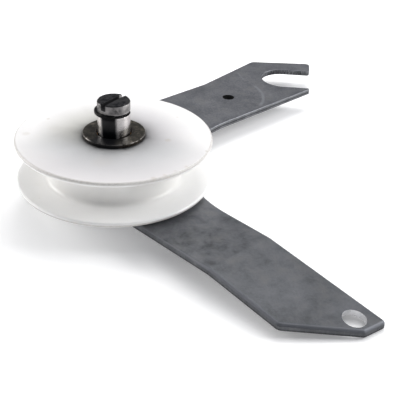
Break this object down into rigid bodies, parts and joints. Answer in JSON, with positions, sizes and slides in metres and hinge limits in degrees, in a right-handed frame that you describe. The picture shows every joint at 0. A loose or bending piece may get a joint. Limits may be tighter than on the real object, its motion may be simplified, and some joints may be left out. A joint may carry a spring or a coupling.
{
  "type": "belt tensioner idler",
  "caption": "Belt tensioner idler: a grooved nylon wheel turning on a fixed stud on a stamped steel lever with an open fork at one end and a spring hole at the other.",
  "frame": {"origin": "on the stud's axis, at mid-width of the wheel's belt groove, with the wheel resting on its lower washer", "axes": "+Z along the stud away from the lever; +X points between the lever's two arms, which leave the stud at 45 degrees either side of it; +Y is towards the forked end"},
  "size_m": [0.135, 0.2158, 0.0452],
  "materials": {
    "lever_steel": "plain rolled steel, dull grey, with rolled-over stamped edges",
    "stud_steel": "turned and polished, lightly oiled",
    "ring_steel": "spring steel, black oxide",
    "washer_steel": "stamped steel, dark with old oil",
    "fastener_steel": "zinc plated",
    "wheel_nylon": "natural white nylon, faint sheen, a few specks and an oil stain round the stud",
    "bushing_bronze": "sintered bronze, oil filled"
  },
  "bodies": {
    "lever_set": {"lever": "lever_steel", "stud": "stud_steel", "retaining_ring": "ring_steel", "lock_washer": "fastener_steel", "nut": "fastener_steel"},
    "lower_washer_set": {"lower_washer": "washer_steel"},
    "upper_washer_set": {"upper_washer": "washer_steel"},
    "wheel_set": {"wheel": "wheel_nylon", "hub_bushing": "bushing_bronze"}
  },
  "joints": [
    {"name": "wheel_float", "type": "slide", "parent": "lever_set", "child": "upper_washer_set", "axis": [0, 0, 1], "range_m": [0, 0.008]},
    {"name": "wheel_spin", "type": "hinge", "parent": "upper_washer_set", "child": "wheel_set", "pos_m": [0, 0, 0], "axis": [0, 0, 1], "continuous": true},
    {"name": "lower_washer_spin", "type": "hinge", "parent": "lever_set", "child": "lower_washer_set", "pos_m": [0, 0, -0.01009], "axis": [0, 0, 1], "continuous": true}
  ]
}
